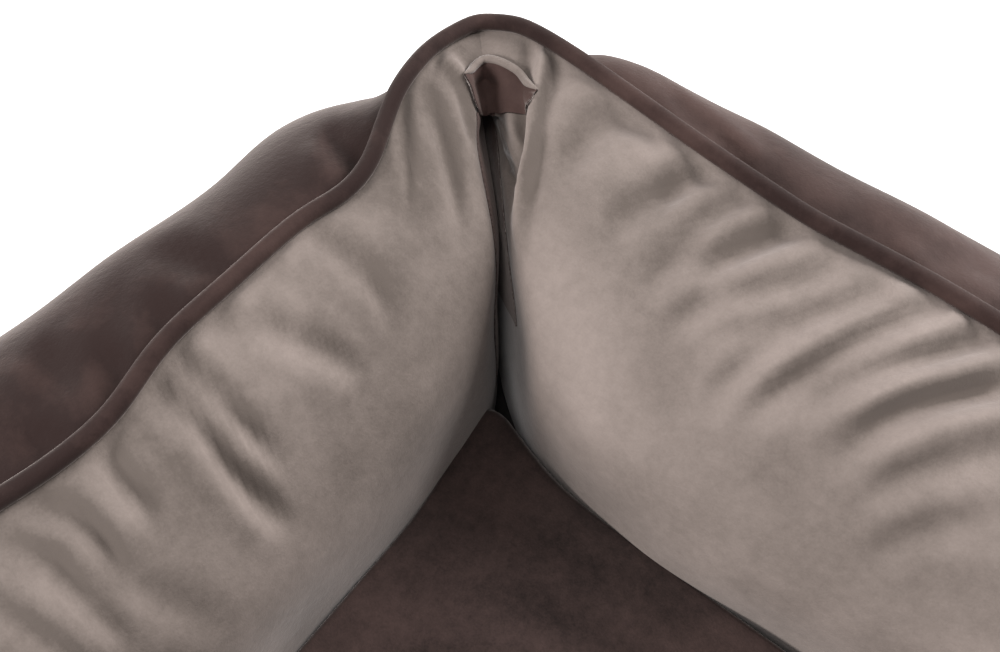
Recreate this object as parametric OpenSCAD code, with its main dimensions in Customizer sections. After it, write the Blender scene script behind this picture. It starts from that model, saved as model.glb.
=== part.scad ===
// Rectangular pet bed: four stuffed bolster walls in a two-colour velvet cover with a piped top
// seam, a base cloth, a lift-out mattress cushion, and a coil zip in each cover.
// Millimetres. +X is the long side, +Y the back, +Z up. The origin is the centre of the footprint.

/* [Bed] */
// Outside length along X
bed_length = 1000; // [900:10:1200]
// Outside depth along Y
bed_depth = 850; // [760:10:1000]
// Height to the top of the piping
wall_height = 210; // [180:5:240]
// Height to the top of the piping in the middle of the front entrance
entrance_height = 145; // [120:5:175]
// Width of the lowest stretch of the entrance
entrance_width = 260; // [120:10:300]
// Length of each slope beside the entrance
entrance_slope = 130; // [90:10:140]

/* [Bolster walls] */
// Thickness of a wall at its fattest
wall_thickness = 190; // [160:2:200]
// Height at which a wall is fattest
belly_height = 96; // [88:2:104]
// Distance of the piped crest in from the outer face
crest_inset = 85; // [72:1:92]
// Least distance of the piped crest in from the outer face, where it goes round a corner
corner_crest_inset = 56; // [46:1:64]
// Radius in plan of the piped crest where it goes round a corner
crest_corner_radius = 44; // [36:2:50]
// Radius of the outer corners in plan
corner_radius = 140; // [110:5:150]
// How far the inner face draws back at a corner
corner_pinch = 6; // [2:1:16]
// How far the base seam lies in from the outer face
foot_inset = 34; // [30:1:40]

/* [Cloth and seams] */
// Thickness of the velvet with its backing
cloth = 2; // [1.5:0.5:2.5]
// Thickness of the base cloth
base_cloth = 2.5; // [2:0.5:3]
// Diameter over the covered piping
piping_diameter = 8; // [7:0.5:9]
// Diameter of the cord inside the piping
piping_core = 5; // [4:0.5:5]

/* [Mattress cushion] */
// Thickness in the middle
mattress_thickness = 84; // [70:2:88]
// Gap between the cushion and the bolsters
mattress_gap = 4.5; // [4:0.5:6]
// Radius of the corners in plan
mattress_corner = 22; // [18:1:36]
// How much the top is crowned
mattress_crown = 8; // [4:1:12]

/* [Zips] */
// Length of coil in the wall cover's zip
wall_zip_length = 600; // [300:20:640]
// Length of coil in the mattress cover's zip
mattress_zip_length = 440; // [240:20:460]
// Width of one tape that shows beside the coil
zip_tape = 9; // [7:1:10]

/* [Hidden] */

dark_velvet = "#44322e";
taupe_velvet = "#9c8e84";
wadding = "#ece9e2";
base_grey = "#2d2826";
zip_black = "#2a2220";
zip_metal = "#8d8a86";

front = 0;
right = 1;
rear = 2;
left = 3;

layer_gap = 0.5;     // air between one layer of cloth or filling and the next
seam_gap = 0.5;      // half the air between two walls at their mitred corner
crest_z = wall_height - piping_diameter - layer_gap;
foot_z = base_cloth + layer_gap;
upper_fullness = 2.3;   // exponent of the section above the belly; 2 is an ellipse
lower_fullness = 4;     // and below it, where the wall sits square on its base
crest_run = 85;         // length in which the crest moves in again beyond a corner's arc
pinch_run = 80;         // distance from a corner in which the inner face draws back
panel_steps = 11;
panel_angles = [for (i = [0 : panel_steps]) -70 + 156 * i / panel_steps];   // foot to piped seam
filling_angles = concat([-88], panel_angles, [88]);
corner_stations = [0, 12, 25, 38, 52, 74, 100, 140];     // distances from a corner
entrance_steps = 9;                             // stations across the front's entrance

// A ramp from 0 to 1 that starts and ends level.
function smooth(t) = let (c = max(0, min(1, t))) c * c * (3 - 2 * c);
function wall_length(side) = side == front || side == rear ? bed_length : bed_depth;

// Insets from the outer face, at a distance from the wall's nearer corner.
function arc_inset(away, radius) = away >= radius ? 0
    : radius * (1 - sin(45 + asin(away / radius / sqrt(2))));
function outer_inset(away) = arc_inset(away, corner_radius);
function crest_at(away) = corner_crest_inset + arc_inset(away, crest_corner_radius)
    + (crest_inset - corner_crest_inset) * smooth((away - crest_corner_radius) / crest_run);
function inner_inset(away) = wall_thickness - corner_pinch * (1 - smooth(away / pinch_run));

// The share of the full height that a wall has at a distance along it.
function height_share(side, along) = side != front ? 1
    : 1 - (1 - entrance_height / wall_height)
        * smooth((entrance_width / 2 + entrance_slope - abs(along - bed_length / 2)) / entrance_slope);

// The stations of a wall, as distances along it.
function stations(side) = let (
    length = wall_length(side),
    half = entrance_width / 2 + entrance_slope,
    middle = side == front
        ? [for (i = [0 : entrance_steps]) length / 2 + half * (2 * i / entrance_steps - 1)]
        : [length / 2]
) concat(
    corner_stations,
    middle,
    [for (i = [len(corner_stations) - 1 : -1 : 0]) length - corner_stations[i]]
);

// A point at [along, in, up]. The two ends of a wall are mitred, so a point further in
// starts and ends further along.
function mitred(side, along, in, up) = let (
    length = wall_length(side), share = along / length
) [in + seam_gap + share * (length - 2 * in - 2 * seam_gap), in, up];

// A point of the wall's section: face is -1 on the outer face and 1 on the inner one, the
// angle is measured up from the belly, and depth goes in from the cloth's outside.
function section_point(side, along, face, angle, depth) = let (
    away = min(along, wall_length(side) - along),
    crest = crest_at(away),
    reach = (face > 0 ? inner_inset(away) - crest : crest - outer_inset(away)) - depth,
    rise = (angle > 0 ? crest_z - belly_height : belly_height - foot_z) - depth,
    power = 2 / (angle > 0 ? upper_fullness : lower_fullness),
    up = belly_height + rise * sign(angle) * pow(abs(sin(angle)), power)
) mitred(side, along, crest + face * reach * pow(cos(angle), power),
         up * height_share(side, along));

function section_curve(side, along, face, angles, depth) = [
    for (angle = angles) section_point(side, along, face, angle, depth)
];
function reversed(list) = [for (i = [len(list) - 1 : -1 : 0]) list[i]];

// A closed solid through rings of points, all with the same even number of points. The ends
// are closed by strips across the ring, or the last ring is joined to the first.
module loft(rings, looped = false) {
    count = len(rings[0]);
    spans = looped ? len(rings) : len(rings) - 1;
    last = (len(rings) - 1) * count;
    sides = [
        for (r = [0 : spans - 1], i = [0 : count - 1]) let (
            a = r * count + i,
            b = r * count + (i + 1) % count,
            c = (r + 1) % len(rings) * count + i,
            d = (r + 1) % len(rings) * count + (i + 1) % count
        ) each [[a, c, b], [b, c, d]]
    ];
    ends = looped ? [] : [
        for (i = [0 : count / 2 - 2]) let (j = count - 1 - i)
            each [[i, i + 1, j], [i + 1, j - 1, j],
                  [last + i, last + j, last + i + 1], [last + i + 1, last + j, last + j - 1]]
    ];
    points = [for (ring = rings) each ring];
    polyhedron(points = points, faces = concat(sides, ends), convexity = 10);
}

// Moves a wall's own frame, which starts at its corner, to its place round the bed.
module on_side(side) {
    corner = [
        (side == front || side == left ? -1 : 1) * bed_length / 2,
        (side == front || side == right ? -1 : 1) * bed_depth / 2,
        0
    ];
    translate(corner) rotate(90 * side) children();
}

// One velvet panel of a wall, from its base seam up to the piped seam.
module wall_panel(side, face) {
    rings = [
        for (along = stations(side)) let (
            outside = section_curve(side, along, face, panel_angles, 0),
            inside = section_curve(side, along, face, panel_angles, cloth),
            ring = concat(outside, reversed(inside))
        ) face > 0 ? ring : reversed(ring)
    ];
    color(face > 0 ? taupe_velvet : dark_velvet) on_side(side) loft(rings);
}

// The fibre-filled bolster inside one wall.
module bolster(side) {
    depth = cloth + layer_gap;
    rings = [
        for (along = stations(side)) concat(
            reversed(section_curve(side, along, -1, filling_angles, depth)),
            section_curve(side, along, 1, filling_angles, depth)
        )
    ];
    color(wadding) on_side(side) loft([for (ring = rings) reversed(ring)]);
}

// A plate with round corners, standing on z = 0.
module round_plate(length, width, radius, thickness) {
    linear_extrude(thickness) {
        square([length - 2 * radius, width], center = true);
        square([length, width - 2 * radius], center = true);
        for (x = [-1, 1], y = [-1, 1])
            translate([x * (length / 2 - radius), y * (width / 2 - radius)])
                circle(radius, $fn = 48);
    }
}

module base_panel() {
    color(base_grey)
        round_plate(bed_length - 2 * foot_inset, bed_depth - 2 * foot_inset,
                    corner_radius / 2, base_cloth);
}

// ---- Piping -------------------------------------------------------------------------------

piping_sides = 10;
piping_slot = 50;    // angle left open under the cord, where the strip's two edges go down

// The line of the piping's middle along one wall, without its last point, which is the next
// wall's first.
function crest_line(side) = let (all = stations(side)) [
    for (i = [0 : len(all) - 2]) let (
        along = all[i],
        away = min(along, wall_length(side) - along),
        place = mitred(side, along, crest_at(away),
                       crest_z * height_share(side, along) + layer_gap + piping_diameter / 2)
    ) [along == 0 ? crest_at(0) : place[0], place[1], place[2]]
];
function turned(point, side) = let (
    c = cos(90 * side), s = sin(90 * side),
    x = (side == front || side == left ? -1 : 1) * bed_length / 2,
    y = (side == front || side == right ? -1 : 1) * bed_depth / 2
) [x + c * point[0] - s * point[1], y + s * point[0] + c * point[1], point[2]];
piping_line = [for (side = [front, right, rear, left], point = crest_line(side)) turned(point, side)];

// Rings of a section swept along the looped piping line. Section points are [across, up].
function swept(section) = [
    for (i = [0 : len(piping_line) - 1]) let (
        before = piping_line[(i + len(piping_line) - 1) % len(piping_line)],
        after = piping_line[(i + 1) % len(piping_line)],
        ahead = (after - before) / norm(after - before),
        across = cross(ahead, [0, 0, 1]) / norm(cross(ahead, [0, 0, 1])),
        up = cross(across, ahead)
    ) [for (p = section) piping_line[i] + p[0] * across + p[1] * up]
];
function arc(radius, from, to, steps) = [
    for (i = [0 : steps]) let (a = from + (to - from) * i / steps) radius * [cos(a), sin(a)]
];

module piping_cover() {
    half = piping_slot / 2;
    outside = arc(piping_diameter / 2, -90 + half, 270 - half, piping_sides);
    inside = arc(piping_core / 2 + layer_gap / 2, 270 - half, -90 + half, piping_sides);
    color(dark_velvet) loft([for (ring = swept(concat(outside, inside))) reversed(ring)], looped = true);
}

module piping_core_cord() {
    step = 360 / piping_sides;
    round_cord = arc(piping_core / 2, 0, 360 - step, piping_sides - 1);
    color(wadding) loft([for (ring = swept(round_cord)) reversed(ring)], looped = true);
}

// ---- Mattress cushion ---------------------------------------------------------------------

mattress_half = [bed_length / 2 - wall_thickness - mattress_gap,
                 bed_depth / 2 - wall_thickness - mattress_gap];
mattress_seam_z = base_cloth + layer_gap + (mattress_thickness - mattress_crown) / 2;
mattress_side = 24;         // how far the cushion's rounded side reaches in
side_fullness = 2.6;
side_angles = [4, 25, 45, 65, 90];
crown_insets = [60, 110, 165, 200];
corner_steps = 7;

// A rounded rectangle, drawn in from the cushion's seam by an inset.
function mattress_ring(inset, up) = let (radius = max(4, mattress_corner - inset)) [
    for (quarter = [0 : 3], i = [0 : corner_steps]) let (
        angle = 90 * quarter + 90 * i / corner_steps,
        middle = mattress_half - [inset + radius, inset + radius],
        x = (quarter == 0 || quarter == 3 ? 1 : -1) * middle[0],
        y = (quarter < 2 ? 1 : -1) * middle[1]
    ) [x + radius * cos(angle), y + radius * sin(angle), up]
];
// The rings of one face of the cushion, from the middle out to the seam. The face is 1 for the
// top and -1 for the bottom, and only the top is crowned.
function mattress_rings(face, depth) = let (
    rise = (mattress_thickness - mattress_crown) / 2 - depth,
    crown = face > 0 ? mattress_crown : 0,
    span = crown_insets[len(crown_insets) - 1]
) concat(
    [for (i = [len(crown_insets) - 1 : -1 : 0]) let (inset = crown_insets[i])
        mattress_ring(inset + depth, mattress_seam_z + face * (rise + crown * smooth(inset / span)))],
    [for (i = [len(side_angles) - 1 : -1 : 0]) let (
        angle = side_angles[i],
        in = mattress_side * (1 - pow(cos(angle), 2 / side_fullness))
    ) mattress_ring(in + depth, mattress_seam_z + face * rise * pow(sin(angle), 2 / side_fullness))]
);

module mattress_panel(face) {
    rings = concat(mattress_rings(face, 0), reversed(mattress_rings(face, cloth)));
    color(dark_velvet) loft(face > 0 ? rings : [for (ring = rings) reversed(ring)]);
}
module mattress_top_panel() mattress_panel(1);
module mattress_bottom_panel() mattress_panel(-1);

module mattress_filling() {
    depth = cloth + layer_gap;
    color(wadding) loft(concat(mattress_rings(1, depth), reversed(mattress_rings(-1, depth))));
}

// ---- Zips ---------------------------------------------------------------------------------
// A zip's own frame has X along the coil, Y across it up the face and Z out of the cloth. The
// slider is at its closed end, near X = 0.

tape_thickness = 0.8;
coil_width = 4.6;
coil_height = 1.8;
coil_slit = 0.2;
slider_length = 11;
slider_width = 9;
slider_wall = 1.2;
slider_clearance = 0.3;
slider_z = tape_thickness + coil_height + 2 * slider_clearance;     // underside of its top plate
bar_radius = 0.9;
bar_clearance = 0.05;
eye_radius = 2;
eye_length = 3.4;
bar_z = slider_z + slider_wall + eye_radius + slider_clearance;
pull_length = 24;
pull_width = 6;
pull_thickness = 1.3;
stop_length = 4;
tape_end = 12;          // bare tape past each end of the coil

module zip_tapes(length) {
    color(zip_black) for (edge = [-1, 1])
        translate([-tape_end, edge > 0 ? coil_slit : -coil_slit - zip_tape, 0])
            cube([length + 2 * tape_end, zip_tape, tape_thickness]);
}

module zip_coil(length) {
    each_width = (coil_width - coil_slit) / 2;
    color(zip_black) for (edge = [-1, 1])
        translate([0, edge > 0 ? coil_slit / 2 : -coil_slit / 2 - each_width, tape_thickness + coil_slit])
            cube([length, each_width, coil_height - coil_slit]);
}

// The two clips that end the coil where the zip closes.
module zip_top_stops() {
    clip_width = 2;
    color(zip_metal) for (edge = [-1, 1])
        translate([-stop_length - coil_slit, edge > 0 ? coil_slit : -coil_slit - clip_width,
                   tape_thickness + coil_slit])
            cube([stop_length, clip_width, coil_height]);
}

// The one clip that holds both rows together where the zip opens.
module zip_bottom_stop(length) {
    color(zip_metal)
        translate([length + coil_slit, -coil_width / 2, tape_thickness + coil_slit])
            cube([stop_length, coil_width, coil_height]);
}

module zip_slider() {
    flange_z = tape_thickness + slider_clearance;
    post_width = 0.8;
    post_y = eye_length / 2 + slider_clearance;
    color(zip_metal) translate([slider_length / 2 + slider_clearance, 0, 0]) {
        translate([-slider_length / 2, -slider_width / 2, slider_z])
            cube([slider_length, slider_width, slider_wall]);
        for (edge = [-1, 1]) {
            translate([-slider_length / 2, edge * (slider_width - slider_wall) / 2 - slider_wall / 2, flange_z])
                cube([slider_length, slider_wall, slider_z + slider_wall - flange_z]);
            translate([-2 * bar_radius, edge > 0 ? post_y : -post_y - post_width, slider_z])
                cube([4 * bar_radius, post_width, bar_z + bar_radius - slider_z]);
        }
        translate([0, 0, bar_z]) rotate([90, 0, 0])
            cylinder(r = bar_radius, h = 2 * post_y + 2 * post_width, center = true, $fn = 32);
    }
}

// The pull lies flat along the closed coil, and swings on the slider's bar.
module zip_pull() {
    color(zip_metal) translate([slider_length / 2 + slider_clearance, 0, bar_z]) difference() {
        union() {
            rotate([90, 0, 0]) cylinder(r = eye_radius, h = eye_length, center = true, $fn = 32);
            translate([0, -eye_length / 2, -pull_thickness / 2])
                cube([pull_length / 3, eye_length, pull_thickness]);
            translate([pull_length / 3, -pull_width / 2, -pull_thickness / 2])
                cube([pull_length * 2 / 3 - pull_width / 2, pull_width, pull_thickness]);
            translate([pull_length - pull_width / 2, 0, -pull_thickness / 2])
                cylinder(d = pull_width, h = pull_thickness, $fn = 32);
        }
        rotate([90, 0, 0])
            cylinder(r = bar_radius + bar_clearance, h = 2 * eye_length, center = true, $fn = 32);
        translate([pull_length - pull_width / 2, 0, -pull_thickness])
            cylinder(d = pull_width / 2, h = 2 * pull_thickness, $fn = 24);
    }
}

// Places a zip on a rounded face that leans out. The curve holds the face's points under the
// zip's lower edge, middle and upper edge, each [in, up].
module zip_on_face(start, curve) {
    tangent = (curve[2] - curve[0]) / norm(curve[2] - curve[0]);
    normal = [-tangent[1], tangent[0]];
    middle = curve[1] + normal * layer_gap;
    translate([start, middle[0], middle[1]])
        rotate([atan2(tangent[1], tangent[0]), 0, 0])
            children();
}

// Across the back of the wall cover, low on its outer face. The closed end is nearer +X.
wall_zip_angles = [-46, -38, -30];
function wall_face(angle) = let (
    p = section_point(rear, bed_length / 2, -1, angle, 0)
) [p[1], p[2]];
module on_wall_zip() {
    on_side(rear)
        zip_on_face((bed_length - wall_zip_length) / 2, [for (angle = wall_zip_angles) wall_face(angle)])
            children();
}
module wall_zip_tapes() on_wall_zip() zip_tapes(wall_zip_length);
module wall_zip_coil() on_wall_zip() zip_coil(wall_zip_length);
module wall_zip_top_stops() on_wall_zip() zip_top_stops();
module wall_zip_bottom_stop() on_wall_zip() zip_bottom_stop(wall_zip_length);
module wall_zip_slider() on_wall_zip() zip_slider();
module wall_zip_pull() on_wall_zip() zip_pull();

// Along the cushion's rear edge, below its seam.
mattress_zip_angles = [-58, -40, -22];
function mattress_face(angle) = let (
    rise = (mattress_thickness - mattress_crown) / 2,
    in = mattress_side * (1 - pow(cos(angle), 2 / side_fullness))
) [bed_depth / 2 - mattress_half[1] + in,
   mattress_seam_z - rise * pow(abs(sin(angle)), 2 / side_fullness)];
module on_mattress_zip() {
    on_side(rear)
        zip_on_face((bed_length - mattress_zip_length) / 2,
                    [for (angle = mattress_zip_angles) mattress_face(angle)])
            children();
}
module mattress_zip_tapes() on_mattress_zip() zip_tapes(mattress_zip_length);
module mattress_zip_coil() on_mattress_zip() zip_coil(mattress_zip_length);
module mattress_zip_top_stops() on_mattress_zip() zip_top_stops();
module mattress_zip_bottom_stop() on_mattress_zip() zip_bottom_stop(mattress_zip_length);
module mattress_zip_slider() on_mattress_zip() zip_slider();
module mattress_zip_pull() on_mattress_zip() zip_pull();

// A blank woven label, sewn into the base seam at the left end of the back.
label_width = 30;
label_drop = 18;
label_thickness = 0.6;
label_from_corner = 130;
module care_label() {
    color(wadding) on_side(rear)
        translate([bed_length - label_from_corner - label_width, foot_inset - label_drop - layer_gap, 0.8])
            cube([label_width, label_drop, label_thickness]);
}

// ---- Nodes --------------------------------------------------------------------------------

base_panel();
bolster(front);  // front_bolster
bolster(right);  // right_bolster
bolster(rear);  // rear_bolster
bolster(left);  // left_bolster
wall_panel(front, -1);  // front_outer_panel
wall_panel(right, -1);  // right_outer_panel
wall_panel(rear, -1);  // rear_outer_panel
wall_panel(left, -1);  // left_outer_panel
wall_panel(front, 1);  // front_inner_panel
wall_panel(right, 1);  // right_inner_panel
wall_panel(rear, 1);  // rear_inner_panel
wall_panel(left, 1);  // left_inner_panel
piping_cover();
piping_core_cord();
care_label();
wall_zip_tapes();
wall_zip_coil();
wall_zip_top_stops();
wall_zip_bottom_stop();
wall_zip_slider();
wall_zip_pull();
mattress_filling();
mattress_top_panel();
mattress_bottom_panel();
mattress_zip_tapes();
mattress_zip_coil();
mattress_zip_top_stops();
mattress_zip_bottom_stop();
mattress_zip_slider();
mattress_zip_pull();
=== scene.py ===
"""The looks of a rectangular pet bed: stuffed bolster walls in dark and taupe velvet with a piped
top seam, a lift-out mattress cushion, a base cloth with grip dots, and a coil zip in each cover.
"""

import math

import bpy
import numpy as np
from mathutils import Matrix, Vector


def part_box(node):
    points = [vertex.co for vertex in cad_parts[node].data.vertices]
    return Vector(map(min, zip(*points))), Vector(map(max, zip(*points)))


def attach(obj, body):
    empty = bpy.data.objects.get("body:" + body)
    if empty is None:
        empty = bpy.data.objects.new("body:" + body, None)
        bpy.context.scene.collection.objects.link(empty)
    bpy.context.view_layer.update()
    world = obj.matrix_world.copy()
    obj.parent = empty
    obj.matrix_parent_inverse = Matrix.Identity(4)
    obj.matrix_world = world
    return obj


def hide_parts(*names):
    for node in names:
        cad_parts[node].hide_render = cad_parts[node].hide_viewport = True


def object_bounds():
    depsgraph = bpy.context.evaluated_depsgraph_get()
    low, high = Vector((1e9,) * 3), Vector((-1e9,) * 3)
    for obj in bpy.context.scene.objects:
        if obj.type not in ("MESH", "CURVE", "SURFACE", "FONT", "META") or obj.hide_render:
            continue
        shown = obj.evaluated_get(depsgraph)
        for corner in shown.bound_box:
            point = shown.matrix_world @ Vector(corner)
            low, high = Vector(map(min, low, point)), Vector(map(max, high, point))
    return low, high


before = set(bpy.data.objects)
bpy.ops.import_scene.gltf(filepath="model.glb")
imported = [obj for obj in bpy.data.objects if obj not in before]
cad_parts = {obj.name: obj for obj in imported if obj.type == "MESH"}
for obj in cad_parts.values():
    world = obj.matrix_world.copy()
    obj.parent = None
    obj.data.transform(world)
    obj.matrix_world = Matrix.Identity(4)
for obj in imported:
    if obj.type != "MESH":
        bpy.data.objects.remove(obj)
cad_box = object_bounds()

# ---- Camera and room ------------------------------------------------------------------------
# A camera above the middle of the bed, looking down into its back left corner. The bed stands
# on a white studio floor, lit by large soft lamps.

camera_place = (-0.175, 0.039, 0.563)      # metres
camera_turn = 36.9          # degrees to the left of straight back
camera_drop = 58.3          # degrees below level
camera_roll = 1.24          # degrees
camera_lens = 36.5          # mm
camera_nearest = 0.01       # metres
floor_half = 4.0
room_light = 0.40


def placed(name, data):
    """An object that holds this mesh, lamp or camera, put in the scene."""
    made = bpy.data.objects.new(name, data)
    bpy.context.collection.objects.link(made)
    return made


camera_data = bpy.data.cameras.new("camera")
camera_data.lens = camera_lens
camera_data.clip_start = camera_nearest
camera = placed("camera", camera_data)
camera.location = camera_place
camera.rotation_euler = (math.radians(90 - camera_drop), 0, math.radians(camera_turn))
camera.rotation_euler.rotate_axis("Z", math.radians(camera_roll))
bpy.context.scene.camera = camera


class Wire:
    """A socket in a shader's node tree. Sums and products of wires add Math nodes."""

    def __init__(self, tree, socket=None):
        self.tree = tree
        self.socket = socket

    def feed(self, socket, value):
        if isinstance(value, Wire):
            self.tree.links.new(value.socket, socket)
        else:
            socket.default_value = value

    def node(self, kind, settings=None, inputs=None, output=0):
        """Adds any node: its settings first, then the values or wires of its inputs."""
        made = self.tree.nodes.new(kind)
        for name, value in (settings or {}).items():
            setattr(made, name, value)
        for name, value in (inputs or {}).items():
            self.feed(made.inputs[name], value)
        return Wire(self.tree, made.outputs[output])

    def math(self, operation, first, second=0.0):
        return self.node("ShaderNodeMath", {"operation": operation}, {0: first, 1: second})

    def __add__(self, other):
        return self.math("ADD", self, other)

    __radd__ = __add__

    def __mul__(self, other):
        return self.math("MULTIPLY", self, other)

    __rmul__ = __mul__

    def __sub__(self, other):
        return self.math("SUBTRACT", self, other)

    def __rsub__(self, other):
        return self.math("SUBTRACT", other, self)

    def noise(self, place, scale, detail=2.0, roughness=0.5, distortion=0.0):
        return self.node("ShaderNodeTexNoise", None,
                         {"Vector": place, "Scale": scale, "Detail": detail, "Roughness": roughness,
                          "Distortion": distortion})

    def span(self, value, low, high):
        """A number moved from this range to 0 to 1 and kept inside it, with soft ends."""
        return self.node("ShaderNodeMapRange", {"interpolation_type": "SMOOTHSTEP"},
                         {"Value": value, "From Min": low, "From Max": high})

    def blend(self, share, first, second):
        return self.node("ShaderNodeMix", {"data_type": "RGBA"},
                         {"Factor": share, "A": first, "B": second}, 2)

    def bump(self, height, strength, depth):
        return self.node("ShaderNodeBump", None,
                         {"Height": height, "Strength": strength, "Distance": depth})


def new_material(name):
    """A plain material, its Principled shader, a wire to build on and the piece's own
    coordinates."""
    material = bpy.data.materials.new(name)
    material.use_nodes = True
    tree = material.node_tree
    wire = Wire(tree)
    return material, tree.nodes["Principled BSDF"], wire, wire.node("ShaderNodeTexCoord", output=3)


def new_piece(name, points, faces, material, smooth_faces=True):
    mesh = bpy.data.meshes.new(name)
    mesh.from_pydata([tuple(p) for p in points], [], faces)
    mesh.materials.append(material)
    if smooth_faces:
        mesh.shade_smooth()
    return placed(name, mesh)


def studio_floor():
    paper, shader, wire, place = new_material("white_paper")
    grain = wire.noise(place, 3.0)
    white = wire.blend(grain, (0.90, 0.90, 0.90, 1), (0.93, 0.93, 0.93, 1))
    wire.feed(shader.inputs["Base Color"], white)
    shader.inputs["Roughness"].default_value = 0.9
    corners = [(x * floor_half, y * floor_half, 0) for x, y in ((-1, -1), (1, -1), (1, 1), (-1, 1))]
    new_piece("studio_floor", corners, [(0, 1, 2, 3)], paper, smooth_faces=False)


def lamp(name, place, aim, size, power):
    data = bpy.data.lights.new(name, "AREA")
    data.size = size
    data.energy = power
    body = placed(name, data)
    body.location = place
    away = np.array(place) - np.array(aim)
    flat = math.hypot(away[0], away[1])
    body.rotation_euler = (math.atan2(flat, away[2]), 0, math.atan2(away[0], -away[1]))


studio_floor()
lamp("key_lamp", (-1.3, -2.05, 1.3), (-0.2, 0.2, 0.1), 0.9, 106)
lamp("top_lamp", (-0.1, -1.0, 2.6), (-0.2, 0.2, 0.1), 1.2, 30)
lamp("back_lamp", (0.65, 2.2, 1.6), (-0.2, 0.3, 0.1), 1.4, 135)

world = bpy.data.worlds.new("studio")
world.use_nodes = True
sky = world.node_tree.nodes["Background"]
sky.inputs["Color"].default_value = (1, 1, 1, 1)
sky.inputs["Strength"].default_value = room_light
bpy.context.scene.world = world
bpy.context.scene.view_settings.view_transform = "Standard"

# ---- Velvet ---------------------------------------------------------------------------------
# Short-pile polyester velvet with a soft knitted back. The pile lies this way and that where a
# hand has brushed it, so the cloth is cloudy, and its edges catch the light.


pile_depth = 0.0016
pile_sheen_roughness = 0.38
pile_specular = 0.2


def velvet(name, deep, light, sheen, sheen_tint, cloud, crease):
    """A velvet's material, from the colour of its deep pile to that of its light pile. cloud says how
    strongly its patches show, and crease how strongly the painted light and shade stored on each piece
    shows."""
    material, shader, wire, place = new_material(name)
    painted_shade = wire.node("ShaderNodeAttribute", {"attribute_name": "painted_shade_and_nap"}, output=2)
    clouds = wire.span(wire.noise(place, 9.0, 3.0, 0.55, 0.6), 0.36, 0.66)
    brushed = wire.span(wire.noise(place, 30.0, 4.0, 0.6, 0.2), 0.34, 0.70)
    tufts = wire.noise(place, 210.0, 3.0, 0.6)
    pile = wire.noise(place, 900.0, 2.0, 0.6)
    # Painted light and shade: the value stored on each piece makes the pile's colour lighter or darker
    # here.
    nap_and_shade = (0.45 + (clouds - 0.5) * (0.34 * cloud) + (brushed - 0.5) * (0.30 * cloud)
           + (tufts - 0.5) * 0.32 + (pile - 0.5) * 0.25 + painted_shade * crease)
    wire.feed(shader.inputs["Base Color"], wire.blend(nap_and_shade, deep, light))
    wire.feed(shader.inputs["Roughness"], 0.92 - nap_and_shade * 0.14)
    height = pile * 0.35 + tufts * 0.6 + brushed * 0.25
    wire.feed(shader.inputs["Normal"], wire.bump(height, 0.28, pile_depth))
    for socket, value in (("Sheen Weight", sheen), ("Sheen Roughness", pile_sheen_roughness),
                          ("Sheen Tint", sheen_tint), ("Specular IOR Level", pile_specular)):
        shader.inputs[socket].default_value = value
    return material


taupe = velvet("taupe_velvet", (0.085, 0.068, 0.059, 1), (0.230, 0.187, 0.168, 1), sheen=0.26,
               sheen_tint=(1, 0.95, 0.94, 1), cloud=0.6, crease=0.8)
chocolate = velvet("chocolate_velvet", (0.015, 0.007, 0.006, 1), (0.048, 0.026, 0.022, 1), sheen=0.20,
                   sheen_tint=(1, 0.86, 0.80, 1), cloud=1.3, crease=1.3)

# ---- Wall cover -----------------------------------------------------------------------------
# Four fibre-stuffed bolsters under one cover. The dark outer panels and the taupe inner panels
# meet in the piped top seam. At each corner the inner cloth is gathered, bridges the gap between
# the two bolsters near the top, and is drawn into a deep slit below.

SIDES = ("front", "right", "rear", "left")
FRONT, RIGHT, REAR, LEFT = range(4)
half_size = np.array(cad_box[1])[:2]
(_, inner_face, cover_foot), (_, _, cover_top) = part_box("rear_inner_panel")
wall_thickness = half_size[1] - inner_face
belly = 0.096               # how high the wall is thickest
crest_inset = 0.085         # the piped seam, in from the outside
corner_crest_inset = 0.056
crest_corner_radius = 0.044
crest_run = 0.085
outer_corner_radius = 0.14
foot_inset = 0.034
inner_foot_inset = 0.150
entrance_height = 0.145     # the lowered middle of the front
entrance_flat = 0.26
entrance_slope = 0.13
upper_fullness = 2.25       # 2 is round, more is squarer
lower_fullness = (3.4, 3.2)        # outer, inner
OUTER_ROWS = 24
INNER_ROWS = 48
CREST_ROW = OUTER_ROWS - 1
near_corner = np.array([0, 0.7, 1.8, 3.4, 5.5, 8, 11, 14, 17.5, 21, 25, 29, 33, 38, 44, 50]) / 1000
station_gap = 0.0095
slit_inset = 0.080
slit_radius = (0.027, 0.027, 0.036, 0.016)          # front, right, rear, left
slit_low_radius = (0.018, 0.018, 0.024, 0.040)
web_reach = (0.040, 0.040, 0.044, 0.030)
slit_mouth = (0.008, 0.008, 0.012, 0.012)
web_rim = (0.083, 0.1905)   # in from the outside, up
web_lip = (0.097, 0.1765)
corner_sink = 0.005
sway = 0.0018               # how unevenly high the crest stands
corner_reach = 0.08         # how far along the wall a corner shows
slit_reach = 0.06
velvet_thickness = 0.0016

# The piped crest of the two walls that meet at the back left corner: [distance from the corner,
# inset from the outside] in mm. Fibre has shifted in the left wall, so its crest leans in and
# swings out round the corner.
leaning_crest = {
    LEFT: ((0, 67), (12, 65), (28, 63), (45, 62.5), (62, 65), (80, 71), (95, 81), (108, 89), (122, 92),
           (165, 88), (220, 88.5), (270, 90), (312, 98.5), (345, 97), (385, 90), (425, 85)),
    REAR: ((0, 67), (15, 62.5), (30, 58), (45, 57.5), (65, 59), (85, 61), (120, 65.5), (155, 70.5),
           (190, 75), (222, 78.5), (256, 78.5), (290, 78), (330, 79), (400, 82), (500, 85)),
}
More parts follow.
